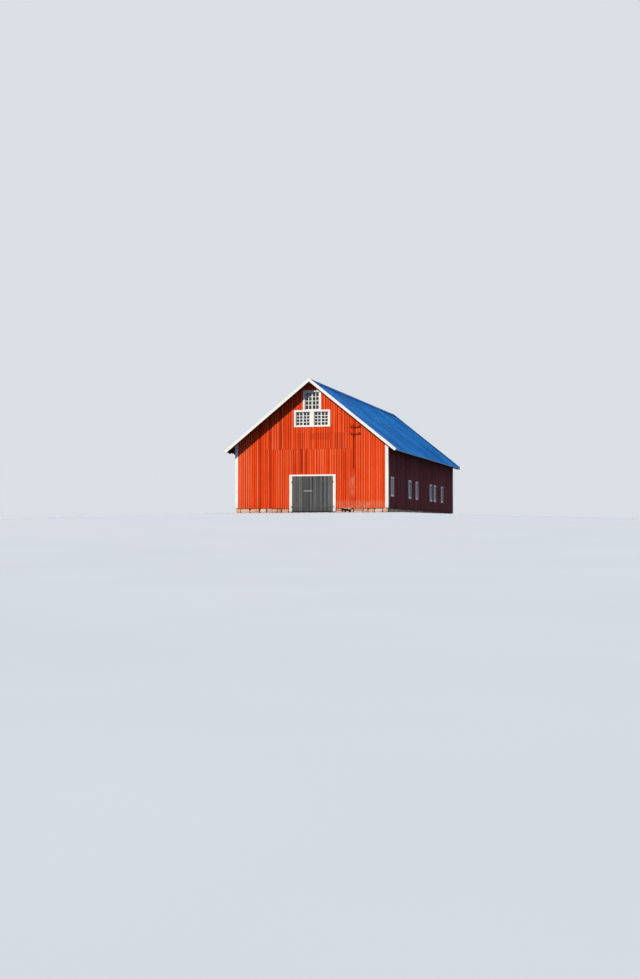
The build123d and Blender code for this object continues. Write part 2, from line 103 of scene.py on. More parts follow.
# Slots in the front cladding, as left, right, bottom and top: a missing board and four open joints
board_slots = [
    (-0.84, -0.66, 3.16, 5.05),
    (1.685, 1.725, 5.07, 6.95),
    (-3.585, -3.545, 0.45, 3.30),
    (-2.300, -2.270, 0.45, 5.05),
    (2.735, 2.765, 2.57, 4.80),
]

# Window bars and panes
bar_width = 0.05
bar_depth = 0.036
bar_chamfer = 0.006
bar_lap = 0.002  # how far the level bars lie behind the faces of the upright ones
pane_thickness = 0.004
pane_columns = 2
pane_rows = 4
pane_lean = tan(radians(0.5))

# Roof seams
seam_pitch = 0.6
seam_width = 0.016
seam_height = 0.03
seam_chamfer = 0.004
seam_root = 0.001  # how far seams and folds reach into the sheet
fold_width = 0.03
fold_height = 0.007
fold_chamfer = 0.002
fold_pitch = 2.1
upstand_thickness = 0.006  # edge of the sheet, turned up against the rake boards

# Rounded capping over the ridge, in lengths with a collar where they meet
capping_half_width = 0.11
capping_rise = 0.10  # top of the capping over the ridge cap
capping_length = 1.9
capping_steps = 12
collar_length = 0.09
collar_height = 0.004

# Plinth stones
stone_length = (0.32, 0.85)
stone_depth = 0.16
stone_joint = (0.012, 0.075)
wide_joint_share = 0.3
stone_tones = (0.15, 1.0)
least_stone = 0.25
least_rest = 0.05
two_course_share = 0.35
course_level = (0.42, 0.62)
course_slack = 0.03  # how much lower a stone may be than its course
stone_slack = 0.02  # how far a stone may stand behind the foremost ones
stone_stand = 0.018  # how far the foremost stones stand in front of the plinth's face
stone_swell = 1.10  # how far a stone's uneven faces may reach, as a share of its nominal size
stone_divisions = 3
stone_roundness = (0.30, 0.50)
stone_waviness = 0.035
stone_wave = 3  # how fast a stone's unevenness may change, in radians from its middle to a face
stone_phase = 6.3  # a full turn
stone_bulge = 1.28  # radius of the ball that a stone's shape leans towards
backing_depth = 0.09
backing_trim = 0.08  # how far the backing stops short of the barn's corners
corner_length = 0.42
corner_tones = (0.4, 0.9)
wedge_joint = 0.04  # narrowest joint that has a wedge stone in it
wedge_width = 0.9  # as a share of the joint
wedge_inset = 0.55  # how deep the wedge's middle lies, as a share of the stones' depth
wedge_height = (0.05, 0.09)
wedge_lift = 0.08
wedge_tones = (0.5, 1.0)

# Loose stones in a gap of the front plinth: place along it, whether under the wall, half size
low_stretch = (2.66, 3.45)
least_stretch = 0.5
loose_tones = (0.3, 1.0)
loose_stones = [
    (0.12, False, (0.07, 0.06, 0.07)),
    (0.30, True, (0.17, 0.09, 0.035)),
    (0.48, False, (0.11, 0.07, 0.05)),
    (0.66, True, (0.13, 0.09, 0.05)),
    (0.90, False, (0.08, 0.07, 0.12)),
]

# Doors
door_board_width = (0.135, 0.185)
door_board_gap = 0.005
door_board_foot = 0.012
door_board_chamfer = 0.004
leaf_lean = 0.03  # how far each leaf's last board leans away from the other leaf at its top
strap_thickness = 0.008
nail_count = 5
nail_inset = 0.05
nail_spacing = 0.21
nail_radius = 0.013
nail_height = 0.005
nail_profile = ((1.0, 0.0), (0.85, 0.6), (0.4, 1.0))  # shares of the radius and the height
nail_sides = 10

# Insulator ribs, as shares of the radius and the height
insulator_profile = [
    (0.30, 0.0), (0.62, 0.02), (1.0, 0.10), (1.0, 0.24), (0.62, 0.32), (0.56, 0.42), (0.86, 0.50),
    (0.86, 0.62), (0.50, 0.70), (0.46, 0.80), (0.60, 0.86), (0.52, 0.96), (0.20, 1.0),
]
insulator_sides = 20

# Colours. Several in a row go from dark to pale, or as named
gable_reds = ((0.50, 0.024, 0.001), (0.83, 0.062, 0.003), (0.95, 0.190, 0.070))
# Side reds: painted shade, the same red paint as the gables darkened for the shade that the side walls stand
# in
side_reds_painted_shade = ((0.09, 0.015, 0.018), (0.17, 0.029, 0.034), (0.29, 0.072, 0.070))
# Eave reds: red paint darkened to near black as painted shade under the eaves and gable overhangs
eave_reds_painted_shade = ((0.030, 0.012, 0.012), (0.060, 0.016, 0.016))
worn_pink = (0.78, 0.36, 0.22)
slot_red = (0.34, 0.020, 0.003)
field_red = (0.56, 0.042, 0.006)
whites = ((0.50, 0.47, 0.41), (0.85, 0.82, 0.77), (0.94, 0.92, 0.87))
foot_dirt = (0.34, 0.29, 0.22)
roof_blues = ((0.002, 0.082, 0.29), (0.007, 0.135, 0.405), (0.018, 0.190, 0.53))
# Ridge blues: paler than the roof blues, painted light that lifts the shaded sides of the capping
ridge_blues_painted_light = ((0.004, 0.160, 0.46), (0.007, 0.205, 0.54), (0.012, 0.240, 0.60))
eave_blue = (0.14, 0.28, 0.46)
timber_browns = ((0.13, 0.09, 0.06), (0.30, 0.22, 0.15), (0.44, 0.34, 0.24))
lining_browns = ((0.12, 0.085, 0.06), (0.30, 0.22, 0.15))
joint_black = (0.02, 0.015, 0.012)
door_greys = ((0.035, 0.036, 0.040), (0.072, 0.074, 0.079), (0.120, 0.119, 0.118), (0.200, 0.190, 0.170))
damp_grey = (0.05, 0.055, 0.05)
latch_woods = ((0.36, 0.33, 0.27), (0.64, 0.60, 0.52))
# Stone colours: the first, near-black one is only for the backing behind the stones, painted shade in the
# joints and in the gap of the front plinth
stone_colours = (
    (0.055, 0.036, 0.028), (0.66, 0.37, 0.25), (0.93, 0.53, 0.36), (0.97, 0.63, 0.46), (0.96, 0.83, 0.72)
)
threshold_grey = (0.21, 0.185, 0.165)
speck_tint = (0.72, 0.70, 0.68)
cloud_tint = (0.80, 0.78, 0.70)
damp_tint = (0.78, 0.80, 0.68)
concrete_greys = ((0.24, 0.22, 0.19), (0.40, 0.38, 0.34), (0.52, 0.50, 0.46))
paint_and_rust = ((0.50, 0.040, 0.006), (0.32, 0.045, 0.012))
iron_and_rust = ((0.105, 0.104, 0.103), (0.130, 0.105, 0.085))
glaze_browns = ((0.15, 0.040, 0.016), (0.34, 0.095, 0.042))

# Gloss of red paint and of bare wood
red_gloss = {"Roughness": 0.85, "Specular_IOR_Level": 0.18}
bare_gloss = {"Roughness": 0.85, "Specular_IOR_Level": 0.25}

# Darker fields and rubbed places on the door gable, as left, right, bottom and top
darker_fields = ((-1.20, -0.50, 5.07, 6.35), (-0.05, 1.57, 5.78, 6.35), (1.90, 2.72, 5.07, 6.35))
rubbed_fields = ((3.23, 3.57, 1.55, 2.75), (2.0, 6.0, 0.25, 0.85))


def roof_over(x):
    """Height of the underside of the roof boards over a place across the barn."""
    return ridge_underside - abs(x) * slope


def islands(node):
    """Low and high corners of each separate solid of a node."""
    mesh = nodes[node].data
    groups = []
    for polygon in mesh.polygons:
        joined = {tuple(round(c, 4) for c in mesh.vertices[index].co) for index in polygon.vertices}
        apart = [group for group in groups if group.isdisjoint(joined)]
        joined.update(*[group for group in groups if not group.isdisjoint(joined)])
        groups = apart + [joined]
    boxes = [[Vector(list(map(limit, zip(*group)))) for limit in (min, max)] for group in groups]
    return sorted(boxes, key=lambda corners: tuple(corners[0]))


def strips(left, right, widths, rng):
    """Split a span into strips of random width, as pairs of edges. The last one takes what is left."""
    while left < right:
        edge = left + rng.uniform(*widths)
        if right - edge < widths[0] / 2:
            edge = right
        yield left, edge
        left = edge


def add_object(name, data):
    """New object of the scene."""
    added = bpy.data.objects.new(name, data)
    bpy.context.scene.collection.objects.link(added)
    return added


class Solids:
    """Many small closed solids joined into one mesh, each with a tone of its own."""

    def __init__(self):
        self.points = []
        self.faces = []
        self.tones = []

    def loft(self, rings, tone=0.5):
        """Join rings of points, each with the same count, into one closed solid."""
        first = len(self.points)
        count = len(rings[0])
        for ring in rings:
            self.points.extend(ring)
            self.tones.extend([tone] * count)
        bases = range(first, len(self.points), count)
        for base in bases[:-1]:
            for index in range(count):
                after = (index + 1) % count
                self.faces.append((base + index, base + after, base + count + after, base + count + index))
        for base in (bases[0], bases[-1]):
            self.faces.append(tuple(range(base, base + count)))

    def bar(self, start, end, side, up, chamfer, tone=0.5, end_side=None):
        """A straight bar whose section spans side and up from its start line, chamfered on its top edges."""
        side_edge = side.normalized() * chamfer
        up_edge = up.normalized() * chamfer
        rings = []
        for corner, across in ((start, side), (end, end_side or side)):
            rings.append([
                corner,
                corner + up - up_edge,
                corner + up + side_edge,
                corner + up + across - side_edge,
                corner + up + across - up_edge,
                corner + across,
            ])
        self.loft(rings, tone)

    def turn(self, foot, rise, radii, profile, sides):
        """A solid turned round its rise, from each ring's share of the radii and of the rise."""
        first, second = radii
        angles = [2 * pi * side / sides for side in range(sides)]
        spokes = [first * cos(angle) + second * sin(angle) for angle in angles]
        self.loft([[foot + rise * level + spoke * width for spoke in spokes] for width, level in profile])

    def make(self, name, material, body="barn", replaced=(), smooth=False):
        """Turn what was collected into one object that rides on a body."""
        mesh = bpy.data.meshes.new(name)
        mesh.from_pydata(self.points, [], self.faces)
        tones = mesh.attributes.new("tone", "FLOAT", "POINT")
        tones.data.foreach_set("value", self.tones)
        shaped = bmesh.new()
        shaped.from_mesh(mesh)
        bmesh.ops.recalc_face_normals(shaped, faces=shaped.faces)
        shaped.to_mesh(mesh)
        shaped.free()
        if smooth:
            mesh.shade_smooth()
        mesh.materials.append(material)
        piece = add_object(name, mesh)
        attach(piece, body)
        if replaced:
            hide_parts(*replaced)


class Nodes:
    """A node tree, built one node at a time."""

    def __init__(self, tree):
        self.tree = tree

    def feed(self, socket, value):
        """Link another node's output to an input, or set its value. None leaves it as it is."""
        if isinstance(value, bpy.types.NodeSocket):
            self.tree.links.new(value, socket)
        elif value is not None:
            socket.default_value = (*value, 1.0) if socket.type == "RGBA" else value

    def node(self, kind, *inputs, **settings):
        """Add a node, with its inputs given in order."""
        added = self.tree.nodes.new(f"ShaderNode{kind}")
        for setting, value in settings.items():
            setattr(added, setting, value)
        for socket, value in zip(added.inputs, inputs):
            self.feed(socket, value)
        return added

    def math(self, operation, first, second=0.0, clamp=False):
        """Result of an operation on two values."""
        return self.node("Math", first, second, operation=operation, use_clamp=clamp).outputs[0]

    def vector(self, operation, *inputs):
        """Result of an operation on vectors."""
        return self.node("VectorMath", *inputs, operation=operation).outputs[0]

    def seen_rays(self):
        """Mask of the rays that show a thing to the camera, also through glass and off metal."""
        rays = self.node("LightPath").outputs
        mirrored = self.math("MAXIMUM", rays["Is Glossy Ray"], rays["Is Transmission Ray"])
        return self.math("MAXIMUM", rays["Is Camera Ray"], mirrored)


class Look(Nodes):
    """A procedural material."""

    def __init__(self, name, **constants):
        self.material = bpy.data.materials.new(name)
        self.material.use_nodes = True
        super().__init__(self.material.node_tree)
        self.surface = self.tree.nodes["Principled BSDF"]
        for socket, value in constants.items():
            self.surface.inputs[socket.replace("_", " ")].default_value = value

    def place(self):
        """Position on the object, in metres."""
        return self.node("TexCoord").outputs["Object"]

    def axis(self, name):
        """One coordinate of the position: X, Y or Z."""
        return self.node("SeparateXYZ", self.place()).outputs[name]

    def off_middle(self, name):
        """Distance from the middle of the barn, along X or Y."""
        return self.math("ABSOLUTE", self.axis(name))

    def weigh(self, *parts):
        """Sum of values, each times its weight."""
        total = 0.0
        for value, weight in parts:
            total = self.math("ADD", total, self.math("MULTIPLY", value, weight))
        return total

    def noise(self, stretch, detail=5.0, roughness=0.55):
        """Noise from 0 to 1, whose grain is 1 / stretch metres, the same or different along X, Y and Z."""
        stretch = stretch if isinstance(stretch, tuple) else (stretch, stretch, stretch)
        point = self.vector("MULTIPLY", self.place(), stretch)
        return self.node("TexNoise", point, None, 1.0, detail, roughness).outputs["Fac"]

    def tone(self):
        """Tone that the piece's mesh gives each of its small solids."""
        return self.node("Attribute", attribute_name="tone").outputs["Fac"]

    def spread(self, value, low, high):
        """Stretch the part of a value between low and high over 0 to 1."""
        return self.node("MapRange", value, low, high).outputs[0]

    def ramp(self, value, places, colours):
        """Colour at a value, from the place of each colour on the way from 0 to 1."""
        ramp = self.node("ValToRGB", value)
        elements = ramp.color_ramp.elements
        while len(elements) < len(colours):
            elements.new(0.5)
        for element, place, colour in zip(elements, places, colours):
            element.position = place
            element.color = (*colour, 1.0)
        return ramp.outputs["Color"]

    def mix(self, factor, first, second, blend="MIX"):
        """Mix of two colours."""
        mixer = self.node("Mix", factor, data_type="RGBA", blend_type=blend)
        self.feed(mixer.inputs[6], first)
        self.feed(mixer.inputs[7], second)
        return mixer.outputs[2]

    def front_patch(self, field, edge):
        """Mask of a field on the door gable, given as left, right, bottom and top, faded at its edge."""
        left, right, bottom, top = field
        centre = ((left + right) / 2, -half_length, (bottom + top) / 2)
        reach = ((right - left) / 2, 0.5, (top - bottom) / 2)
        offset = self.vector("DIVIDE", self.vector("SUBTRACT", self.place(), centre), reach)
        parts = self.node("SeparateXYZ", self.vector("ABSOLUTE", offset)).outputs
        largest = self.math("MAXIMUM", self.math("MAXIMUM", parts[0], parts[1]), parts[2])
        return self.spread(largest, 1.0 + edge, 1.0 - edge)

    def inside(self):
        """Mask of what lies between the walls' outer faces, a little way in."""
        depth = 0.03
        across = self.math("LESS_THAN", self.off_middle("X"), half_width - depth)
        along = self.math("LESS_THAN", self.off_middle("Y"), half_length - depth)
        return self.math("MULTIPLY", across, along)

    def strip(self, axis, pitch):
        """Number of the strip that a place lies in, and how far over the strip it is, from 0 to 1."""
        place = self.math("DIVIDE", self.axis(axis), pitch)
        return self.math("FLOOR", place), self.math("FRACT", place)

    def finish(self, colour, height=None, distance=0.0, strength=0.6):
        """Set the colour, and relief as a height from 0 to 1 over a distance, and return the material."""
        self.feed(self.surface.inputs["Base Color"], colour)
        if height is not None:
            bump = self.node("Bump", strength, distance, None, height)
            self.feed(self.surface.inputs["Normal"], bump.outputs[0])
        return self.material


def red_paint(look, tone, reds, worn_share):
    """Weathered red paint on boards that run up the wall, as its colour and its grain."""
    streak = look.noise((7.0, 7.0, 0.25))
    grain = look.noise((70.0, 70.0, 1.6), detail=3.0)
    cloud = look.noise(0.35, detail=3.0)
    value = look.weigh((streak, 0.45), (tone, 0.55), (cloud, 0.35), (grain, 0.45))
    colour = look.ramp(look.math("SUBTRACT", value, 0.40), (0.06, 0.46, 0.95), reds)
    worn = look.spread(look.noise((5.0, 5.0, 0.5), detail=6.0, roughness=0.7), 0.66, 0.80)
    colour = look.mix(look.math("MULTIPLY", worn, worn_share), colour, worn_pink)
    low = look.spread(look.axis("Z"), 0.95, 0.30)
    splash = look.math("MULTIPLY", low, look.noise((3.0, 3.0, 6.0), detail=4.0), clamp=True)
    colour = look.mix(look.math("MULTIPLY", splash, 0.25), colour, reds[0])
    return colour, grain


def gable_boards():
    """Cladding of the gables, with darker fields and worn places on the door gable."""
    look = Look("red_boards", **red_gloss)
    colour, grain = red_paint(look, look.tone(), gable_reds, 0.35)
    for field in darker_fields:
        share = look.math("MULTIPLY", look.front_patch(field, 0.06), 0.5)
        colour = look.mix(share, colour, field_red)
    blotches = look.spread(look.noise((9.0, 9.0, 2.0), detail=6.0), 0.3, 0.9)
    for field in rubbed_fields:
        share = look.math("MULTIPLY", look.front_patch(field, 0.7), blotches)
        colour = look.mix(share, colour, worn_pink)
    return look.finish(colour, grain, 0.004)


def side_boards_painted_shade():
    """Cladding of the side walls, a darker and duller red than the gables: painted shade, the gables' red
    paint darkened for the shade that the side walls stand in.
    """
    look = Look("side_red_boards_painted_shade", **red_gloss)
    return look.finish(*red_paint(look, look.tone(), side_reds_painted_shade, 0.15), 0.004)


def wall_body():
    """Wall behind the cladding: red outside, bare boards inside, dark in the slots."""
    look = Look("red_wall", **red_gloss)
    colour, grain = red_paint(look, 0.3, gable_reds, 0.35)
    for slot in board_slots:
        colour = look.mix(look.front_patch(slot, 0.02), colour, slot_red)
    lining = look.ramp(grain, (0.25, 0.75), lining_browns)
    return look.finish(look.mix(look.inside(), colour, lining), grain, 0.004)


def white_boards(name, stretch):
    """Worn white paint, with grain that runs along the boards and dirt near the ground."""
    look = Look(name, Roughness=0.6, Specular_IOR_Level=0.35)
    grain = look.noise(stretch)
    cloud = look.noise(0.9)
    colour = look.ramp(look.weigh((grain, 0.6), (cloud, 0.4)), (0.30, 0.40, 0.50), whites)
    foot = look.math("MULTIPLY", look.spread(look.axis("Z"), 0.9, 0.3), 0.5)
    colour = look.mix(look.math("MULTIPLY", foot, cloud), colour, foot_dirt)
    return look.finish(colour, grain, 0.003)


def roof_metal(name, blues):
    """Blue painted sheet: a tone for each sheet, streaks down the slope, a paler edge at the eave, and a
    painted shadow of the rake boards along each verge.
    """
    look = Look(name, Specular_IOR_Level=0.1)
    strip, _ = look.strip("Y", seam_pitch)
    shift = look.math("MULTIPLY", look.math("MODULO", strip, 2.0), 0.5)
    down = look.math("DIVIDE", look.off_middle("X"), fold_pitch * cos(roof_pitch))
    course = look.math("FLOOR", look.math("ADD", down, shift))
    cell = look.node("CombineXYZ", strip, course).outputs[0]
    sheet = look.node("TexWhiteNoise", cell, noise_dimensions="2D").outputs["Value"]
    streak = look.noise((0.45, 6.0, 0.45))
    value = look.weigh((sheet, 0.12), (streak, 0.4), (look.noise(0.25, detail=4.0), 0.48))
    colour = look.ramp(value, (0.39, 0.5, 0.61), blues)
    # Painted shadow: a darker blue fading in from 1.3 m before each verge, where the rake boards shade the
    # sheet
    painted_verge_shadow = look.spread(look.off_middle("Y"), verge_y - 1.3, verge_y - 0.5)
    colour = look.mix(look.math("MULTIPLY", painted_verge_shadow, 0.6), colour, tuple(0.4 * part for part in blues[0]))
    edge = look.math("GREATER_THAN", look.off_middle("X"), eave_x + 0.002)
    look.feed(look.surface.inputs["Roughness"], look.spread(streak, -0.6, 1.4))
    return look.finish(look.mix(edge, colour, eave_blue), look.noise(1.5, detail=2.0), 0.006)


def timber(name, stretch, axis=None, pitch=None):
    """Aged bare timber, with board joints where an axis is given. Outside the walls it is red paint darkened
    to near black: painted shade under the eaves and overhangs.
    """
    look = Look(name, **bare_gloss)
    grain = look.noise(stretch, detail=6.0, roughness=0.6)
    value = look.weigh((grain, 0.6), (look.noise(0.7, detail=4.0), 0.4))
    if axis:
        strip, over = look.strip(axis, pitch)
        board = look.node("TexWhiteNoise", None, strip, noise_dimensions="1D").outputs["Value"]
        value = look.weigh((value, 1.0), (look.math("SUBTRACT", board, 0.5), 0.25))
    bare = look.ramp(value, (0.28, 0.5, 0.72), timber_browns)
    # Outside the walls, near-black red: painted shade under the overhangs
    colour = look.mix(look.inside(), look.ramp(value, (0.3, 0.7), eave_reds_painted_shade), bare)
    if axis:
        colour = look.mix(look.math("LESS_THAN", over, 0.008 / pitch), colour, joint_black)
    return look.finish(colour, grain, 0.004)


def door_boards():
    """Grey weathered boards, with a tone for each board, streaks and dark damp feet."""
    look = Look("door_boards", **bare_gloss)
    grain = look.noise((90.0, 90.0, 2.2), roughness=0.65)
    streak = look.noise((8.0, 8.0, 0.6))
    value = look.weigh((look.tone(), 0.4), (streak, 0.35), (grain, 0.25))
    colour = look.ramp(value, (0.22, 0.45, 0.62, 0.85), door_greys)
    low = look.spread(look.axis("Z"), 0.75, 0.1)
    damp = look.math("MULTIPLY", low, look.noise(2.0))
    return look.finish(look.mix(damp, colour, damp_grey), grain, 0.004)


def pale_wood():
    """Pale planed wood of the latch bar."""
    look = Look("pale_wood", Roughness=0.7, Specular_IOR_Level=0.3)
    grain = look.noise((3.0, 60.0, 60.0))
    return look.finish(look.ramp(grain, (0.3, 0.7), latch_woods), grain, 0.002)


def stone(name, plain=None):
    """Split field stone in greys, pinks and ochres by each stone's tone, or in one plain colour."""
    look = Look(name, Roughness=0.9, Specular_IOR_Level=0.3)
    speck = look.noise(38.0, roughness=0.7)
    cloud = look.noise(4.0)
    damp = look.math("MULTIPLY", look.spread(look.axis("Z"), 0.22, 0.02), 0.8)
    colour = plain or look.ramp(look.tone(), (0.0, 0.15, 0.5, 0.75, 1.0), stone_colours)
    for share, tint in (
        (look.spread(speck, 0.62, 0.42), speck_tint),
        (look.spread(cloud, 0.40, 0.72), cloud_tint),
        (damp, damp_tint),
    ):
        colour = look.mix(share, colour, tint, blend="MULTIPLY")
    return look.finish(colour, look.math("ADD", speck, cloud), 0.012, strength=0.8)


def concrete():
    """Worn floor: grey concrete with stains."""
    look = Look("floor_concrete", Roughness=0.88, Specular_IOR_Level=0.3)
    speck = look.noise(45.0, detail=4.0)
    value = look.weigh((speck, 0.3), (look.noise(0.8, detail=6.0), 0.7))
    return look.finish(look.ramp(value, (0.3, 0.55, 0.75), concrete_greys), speck, 0.004)


def iron(name, plain, rusty, **constants):
    """Forged or painted iron with patches of rust."""
    look = Look(name, **constants)
    rust = look.spread(look.noise(14.0, detail=6.0, roughness=0.7), 0.48, 0.70)
    return look.finish(look.mix(rust, plain, rusty), look.noise(120.0, detail=3.0), 0.002)


def glass():
    """Old window glass with faint waves."""
    look = Look("window_glass", Roughness=0.03, Transmission_Weight=0.85, IOR=1.45)
    return look.finish((0.16, 0.22, 0.24), look.noise(6.0, detail=2.0), 0.004, strength=0.3)


def ceramic():
    """Dark brown glaze with paler clouds."""
    look = Look("dark_ceramic", Roughness=0.35, Specular_IOR_Level=0.3)
    return look.finish(look.ramp(look.noise(30.0, detail=3.0), (0.3, 0.7), glaze_browns))


class Wall:
    """An upright outer face of the barn, with X or Y across it and a direction out of it."""

    def __init__(self, name, out, face):
        self.name = name
        self.out = out
        self.across = Vector((abs(out.y), abs(out.x), 0))
        self.face = face

    def point(self, place, height, depth):
        """Point at a place across the wall, a height, and a depth outside its face."""
        return self.across * place + self.out * (self.face + depth) + z_axis * height

    def block(self, width, depth, height):
        """Size of a block on this wall along X, Y and Z."""
        return Vector([abs(part) for part in self.across * width + self.out * depth + z_axis * height])


def free_parts(board, zones):
    """Split a board round the zones that it meets. All are given as left, right, bottom and top."""
    parts = [board]
    for zone_left, zone_right, zone_bottom, zone_top in zones:
        kept = []
        for left, right, bottom, top in parts:
            if right <= zone_left or left >= zone_right or top <= zone_bottom or bottom >= zone_top:
                kept.append((left, right, bottom, top))
                continue
            low, high = max(bottom, zone_bottom), min(top, zone_top)
            kept += [(left, right, bottom, low), (left, right, high, top)]
            kept += [(left, zone_left, low, high), (zone_right, right, low, high)]
        parts = kept
    return [part for part in parts if part[1] - part[0] > least_board and part[3] - part[2] > least_board]


def add_board(solids, wall, part, depths, top_of, tone, rng):
    """One upright board on a wall, with chamfered edges and slight bends, cut to the roof's slope on top."""
    left, right, bottom, top = part
    near, far = depths
    section = [(left, near), (left, far), (right, far), (right, near)]
    if far - near > 2 * edge_chamfer:
        section[1:3] = [
            (left, far - edge_chamfer),
            (left + edge_chamfer, far),
            (right - edge_chamfer, far),
            (right, far - edge_chamfer),
        ]
    stations = max(1, round((top - bottom) / board_station))
    rings = []
    for station in range(stations + 1):
        share = station / stations
        sway = rng.uniform(-board_bend, board_bend) if 0 < station < stations else 0.0
        ring = []
        for place, depth in section:
            end = min(top, top_of(place))
            ring.append(wall.point(place + sway, bottom + share * (end - bottom), depth))
        rings.append(ring)
    solids.loft(rings, tone)


def clad_field(solids, wall, field, zones, cover_zones, top_of, rng):
    """Clad a rectangle of a wall with boards and a narrower cover board over each joint."""
    left, right, bottom, top = field
    joints = []

    def board(near, far, foot):
        return near, far, bottom - rng.uniform(0.0, foot), min(top, max(top_of(near), top_of(far)))

    for near, far in strips(left, right, board_width, rng):
        for part in free_parts(board(near, far, board_foot), zones):
            add_board(solids, wall, part, (-board_root, board_depth), top_of, rng.uniform(*board_tones), rng)
        joints.append(far)
    for joint in joints[:-1]:
        half = rng.uniform(*cover_width) / 2
        centre = joint + rng.uniform(-cover_shift, cover_shift)
        cover = board(centre - half, centre + half, cover_foot)
        tone = rng.uniform(*cover_tones) if rng.random() < plain_cover_share else dark_cover_tone
        for part in free_parts(cover, zones + cover_zones):
            add_board(solids, wall, part, (0.0, cover_depth), top_of, tone, rng)


def casing_zones():
    """Rectangles that the window casings of a gable cover: the lower windows' and the upper one's."""
    windows = [box for box in islands("gable_window_frames") if box[0].y < 0]
    upper = max(windows, key=lambda box: box[0].z)
    lower = min(windows, key=lambda box: box[0].x)
    low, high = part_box("gable_casings")
    side = lower[0].x - low.x
    return [
        (low.x, high.x, low.z, upper[0].z),
        (upper[0].x - side, upper[1].x + side, upper[0].z, high.z),
    ]


def clad_gable(wall, fields, zones, cover_zones, material, seed):
    """Upright boards on a gable, and boards laid level in its peak."""
    rng = Random(seed)
    solids = Solids()
    level = max(zone[3] for zone in zones) + peak_clearance
    peak = (-half_width, half_width, level, ridge_underside)
    for field in fields:
        clad_field(solids, wall, field, zones + [peak], cover_zones, roof_over, rng)
    while level < ridge_underside - peak_rest:
        top = level + rng.uniform(*peak_board_height)
        wide = (ridge_underside - level) / slope
        narrow = max((ridge_underside - top) / slope, peak_tip)
        outline = ((-wide, level, 1), (-narrow, top, peak_lap), (narrow, top, peak_lap), (wide, level, 1))
        rings = [[wall.point(x, z, depth * share) for x, z, share in outline] for depth in (0.0, cover_depth)]
        solids.loft(rings, rng.uniform(*peak_board_tones))
        level = top
    solids.make(f"cladding_{wall.name}", material)


def clad_side(wall, material, seed):
    """Upright boards on a side wall, up to the rafters, round its window casings."""
    solids = Solids()
    zones = [(low.y, high.y, low.z, high.z) for low, high in islands("side_casings") if low.dot(wall.out) > 0]
    top = roof_over(half_width + cover_depth) - rafter_depth / cos(roof_pitch)
    field = (-side_reach, side_reach, wall_foot, top)
    clad_field(solids, wall, field, zones, [], lambda place: top, Random(seed))
    solids.make(f"cladding_{wall.name}", material)


def fit_bars(name, bar_material, glass_material, seed):
    """Glazing bars in each light of a row of windows, and a separate pane in each square."""
    rng = Random(seed)
    bars = Solids()
    panes = Solids()
    for low, high in islands(f"{name}_glass"):
        size = high - low
        across, out = (x_axis, y_axis) if size.y < size.x else (y_axis, x_axis)
        middle = (low + high) / 2
        width = across * size.dot(across)
        height = z_axis * size.z
        back = middle - (width + height + out * bar_depth) / 2
        for column in range(1, pane_columns):
            start = back + width * column / pane_columns - across * bar_width / 2
            bars.bar(start, start + height, across * bar_width, out * bar_depth, bar_chamfer)
        for row in range(1, pane_rows):
            start = back + height * row / pane_rows - z_axis * bar_width / 2 + out * bar_lap
            bars.bar(start, start + width, z_axis * bar_width, out * (bar_depth - 2 * bar_lap), bar_chamfer)
        for column, row in product(range(pane_columns), range(pane_rows)):
            side = (width + out * width.length * pane_lean * rng.uniform(-1, 1)) / pane_columns / 2
            rise = (height + out * height.length * pane_lean * rng.uniform(-1, 1)) / pane_rows / 2
            centre = middle + width * ((column + 0.5) / pane_columns - 0.5)
            foot = centre + height * ((row + 0.5) / pane_rows - 0.5) - rise
            corners = [foot - side, foot + side, foot + side + 2 * rise, foot - side + 2 * rise]
            half = out * pane_thickness / 2
            panes.loft([[corner + depth for corner in corners] for depth in (-half, half)], rng.random())
    bars.make(f"{name}_bars", bar_material)
    panes.make(f"{name}_panes", glass_material, replaced=[f"{name}_glass"])


def seam_roof(side, name, material):
    """Standing seams from eave to ridge cap on one slope, and staggered cross folds between them."""
    solids = Solids()
    down = Vector((side * cos(roof_pitch), 0, -sin(roof_pitch)))
    up = Vector((side * sin(roof_pitch), 0, cos(roof_pitch)))
    start = cap_edge / cos(roof_pitch)
    end = eave_x / cos(roof_pitch)
    count = int(2 * verge_y / seam_pitch)
    for index in range(count + 1):
        y = (index - count / 2) * seam_pitch
        ridge = Vector((0, y, sheet_top)) - up * seam_root
        if abs(y) <= verge_y - seam_pitch / 4:
            edge = ridge - y_axis * seam_width / 2
            solids.bar(
                edge + down * start, edge + down * end, y_axis * seam_width, up * seam_height, seam_chamfer
            )
        place = start + fold_pitch * (0.5 if index % 2 else 1.0)
        while index < count and place < end - fold_pitch / 4:
            edge = ridge + down * place + y_axis * seam_width / 2
            far = edge + y_axis * (seam_pitch - seam_width)
            solids.bar(edge, far, down * fold_width, up * fold_height, fold_chamfer)
            place += fold_pitch
    solids.make(f"roof_seams_{name}", material)


def turn_up_verges(material):
    """Edge of the sheet turned up against the inner face of each rake board."""
    solids = Solids()
    for side, gable in product((-1, 1), (-1, 1)):
        rings = []
        for depth in (0.0, upstand_thickness):
            y = gable * (verge_y - depth)
            rings.append([
                Vector((0, y, sheet_top)),
                Vector((side * eave_x, y, sheet_top - eave_x * slope)),
                Vector((side * eave_x, y, rake_top - eave_x * slope)),
                Vector((0, y, rake_top)),
            ])
        solids.loft(rings)
    solids.make("verge_upstands", material)


